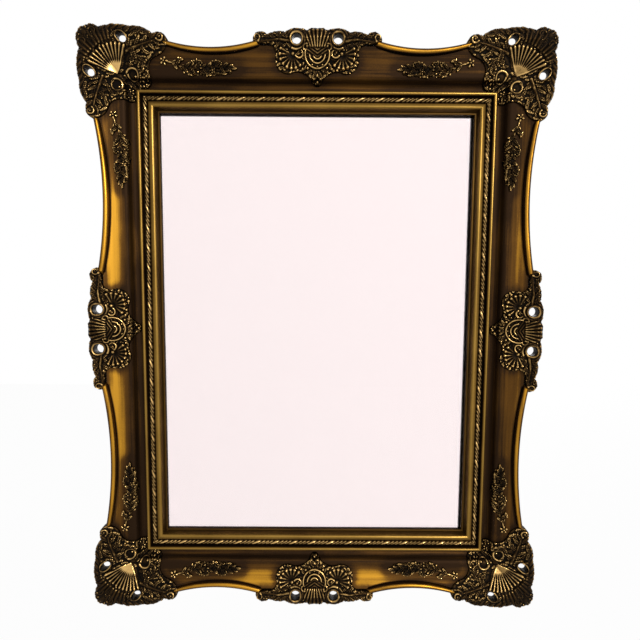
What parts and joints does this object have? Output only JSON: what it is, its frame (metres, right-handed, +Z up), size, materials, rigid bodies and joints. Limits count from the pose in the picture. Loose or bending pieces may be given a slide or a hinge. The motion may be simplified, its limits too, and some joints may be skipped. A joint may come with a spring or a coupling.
{
  "type": "ornate picture frame",
  "caption": "Ornate swept picture frame with mitred gilded rails, pierced shell corners, rope trim, glass, blank insert and swivelling fixings at the back.",
  "frame": {"origin": "in the wall's plane, behind the middle of the opening", "axes": "+X to the viewer's right, +Y into the wall, +Z up; the front faces -Y"},
  "size_m": [0.648, 0.052, 0.822],
  "materials": {
    "outer_rail_gilding": "antique gold paint over wood, rubbed and toned brown",
    "inner_rail_gilding": "antique gold paint over wood, satin",
    "rope_gilding": "antique gold paint over pressed ornament",
    "corner_gilding": "antique gold paint over cast composition, dark in the hollows",
    "centre_gilding": "antique gold paint over cast composition, dark in the hollows",
    "spray_gilding": "antique gold paint over cast composition, dark in the hollows",
    "pane_glass": "clear float glass",
    "insert_paper": "plain pale pink sheet",
    "filler_card": "grey brown board",
    "backing_board": "bare hardboard",
    "screw_steel": "zinc plated",
    "button_steel": "zinc plated",
    "strap_steel": "nickel plated",
    "ring_steel": "nickel plated",
    "bumper_rubber": "matt rubber",
    "nail_steel": "bare steel"
  },
  "bodies": {
    "frame": {"backing_board": "backing_board", "blank_insert": "insert_paper", "centre_cartouche_bottom": "centre_gilding", "centre_cartouche_left": "centre_gilding", "centre_cartouche_right": "centre_gilding", "centre_cartouche_top": "centre_gilding", "corner_cartouche_bottom_left": "corner_gilding", "corner_cartouche_bottom_right": "corner_gilding", "corner_cartouche_top_left": "corner_gilding", "corner_cartouche_top_right": "corner_gilding", "corner_v_nails": "nail_steel", "filler_board": "filler_card", "floral_spray_bottom_rail_left": "spray_gilding", "floral_spray_bottom_rail_right": "spray_gilding", "floral_spray_left_rail_bottom": "spray_gilding", "floral_spray_left_rail_top": "spray_gilding", "floral_spray_right_rail_bottom": "spray_gilding", "floral_spray_right_rail_top": "spray_gilding", "floral_spray_top_rail_left": "spray_gilding", "floral_spray_top_rail_right": "spray_gilding", "glass_pane": "pane_glass", "hanger_screws": "screw_steel", "hanger_strap_left": "strap_steel", "hanger_strap_right": "strap_steel", "inner_rail_bottom": "inner_rail_gilding", "inner_rail_left": "inner_rail_gilding", "inner_rail_right": "inner_rail_gilding", "inner_rail_top": "inner_rail_gilding", "outer_rail_bottom": "outer_rail_gilding", "outer_rail_left": "outer_rail_gilding", "outer_rail_right": "outer_rail_gilding", "outer_rail_top": "outer_rail_gilding", "rope_strip_bottom": "rope_gilding", "rope_strip_left": "rope_gilding", "rope_strip_right": "rope_gilding", "rope_strip_top": "rope_gilding", "turn_button_screws": "screw_steel", "wall_bumpers": "bumper_rubber"},
    "turn_button_1": {"turn_button_1": "button_steel"},
    "turn_button_2": {"turn_button_2": "button_steel"},
    "turn_button_3": {"turn_button_3": "button_steel"},
    "turn_button_4": {"turn_button_4": "button_steel"},
    "turn_button_5": {"turn_button_5": "button_steel"},
    "turn_button_6": {"turn_button_6": "button_steel"},
    "turn_button_7": {"turn_button_7": "button_steel"},
    "turn_button_8": {"turn_button_8": "button_steel"},
    "hanger_ring_left": {"hanger_ring_left": "ring_steel"},
    "hanger_ring_right": {"hanger_ring_right": "ring_steel"}
  },
  "joints": [
    {"name": "turn_button_1_turn", "type": "hinge", "parent": "frame", "child": "turn_button_1", "pos_m": [0.11, -0.0062, 0.316], "axis": [0, 1, 0], "continuous": true},
    {"name": "turn_button_2_turn", "type": "hinge", "parent": "frame", "child": "turn_button_2", "pos_m": [-0.11, -0.0062, 0.316], "axis": [0, 1, 0], "continuous": true},
    {"name": "turn_button_3_turn", "type": "hinge", "parent": "frame", "child": "turn_button_3", "pos_m": [-0.11, -0.0062, -0.316], "axis": [0, 1, 0], "continuous": true},
    {"name": "turn_button_4_turn", "type": "hinge", "parent": "frame", "child": "turn_button_4", "pos_m": [0.11, -0.0062, -0.316], "axis": [0, 1, 0], "continuous": true},
    {"name": "turn_button_5_turn", "type": "hinge", "parent": "frame", "child": "turn_button_5", "pos_m": [-0.234, -0.0062, 0.151], "axis": [0, 1, 0], "continuous": true},
    {"name": "turn_button_6_turn", "type": "hinge", "parent": "frame", "child": "turn_button_6", "pos_m": [-0.234, -0.0062, -0.151], "axis": [0, 1, 0], "continuous": true},
    {"name": "turn_button_7_turn", "type": "hinge", "parent": "frame", "child": "turn_button_7", "pos_m": [0.234, -0.0062, -0.151], "axis": [0, 1, 0], "continuous": true},
    {"name": "turn_button_8_turn", "type": "hinge", "parent": "frame", "child": "turn_button_8", "pos_m": [0.234, -0.0062, 0.151], "axis": [0, 1, 0], "continuous": true},
    {"name": "hanger_ring_left_swing", "type": "hinge", "parent": "frame", "child": "hanger_ring_left", "pos_m": [-0.246, -0.0032, 0.205], "axis": [1, 0, 0], "range_deg": [0, 178]},
    {"name": "hanger_ring_right_swing", "type": "hinge", "parent": "frame", "child": "hanger_ring_right", "pos_m": [0.246, -0.0032, 0.205], "axis": [1, 0, 0], "range_deg": [0, 178]}
  ]
}
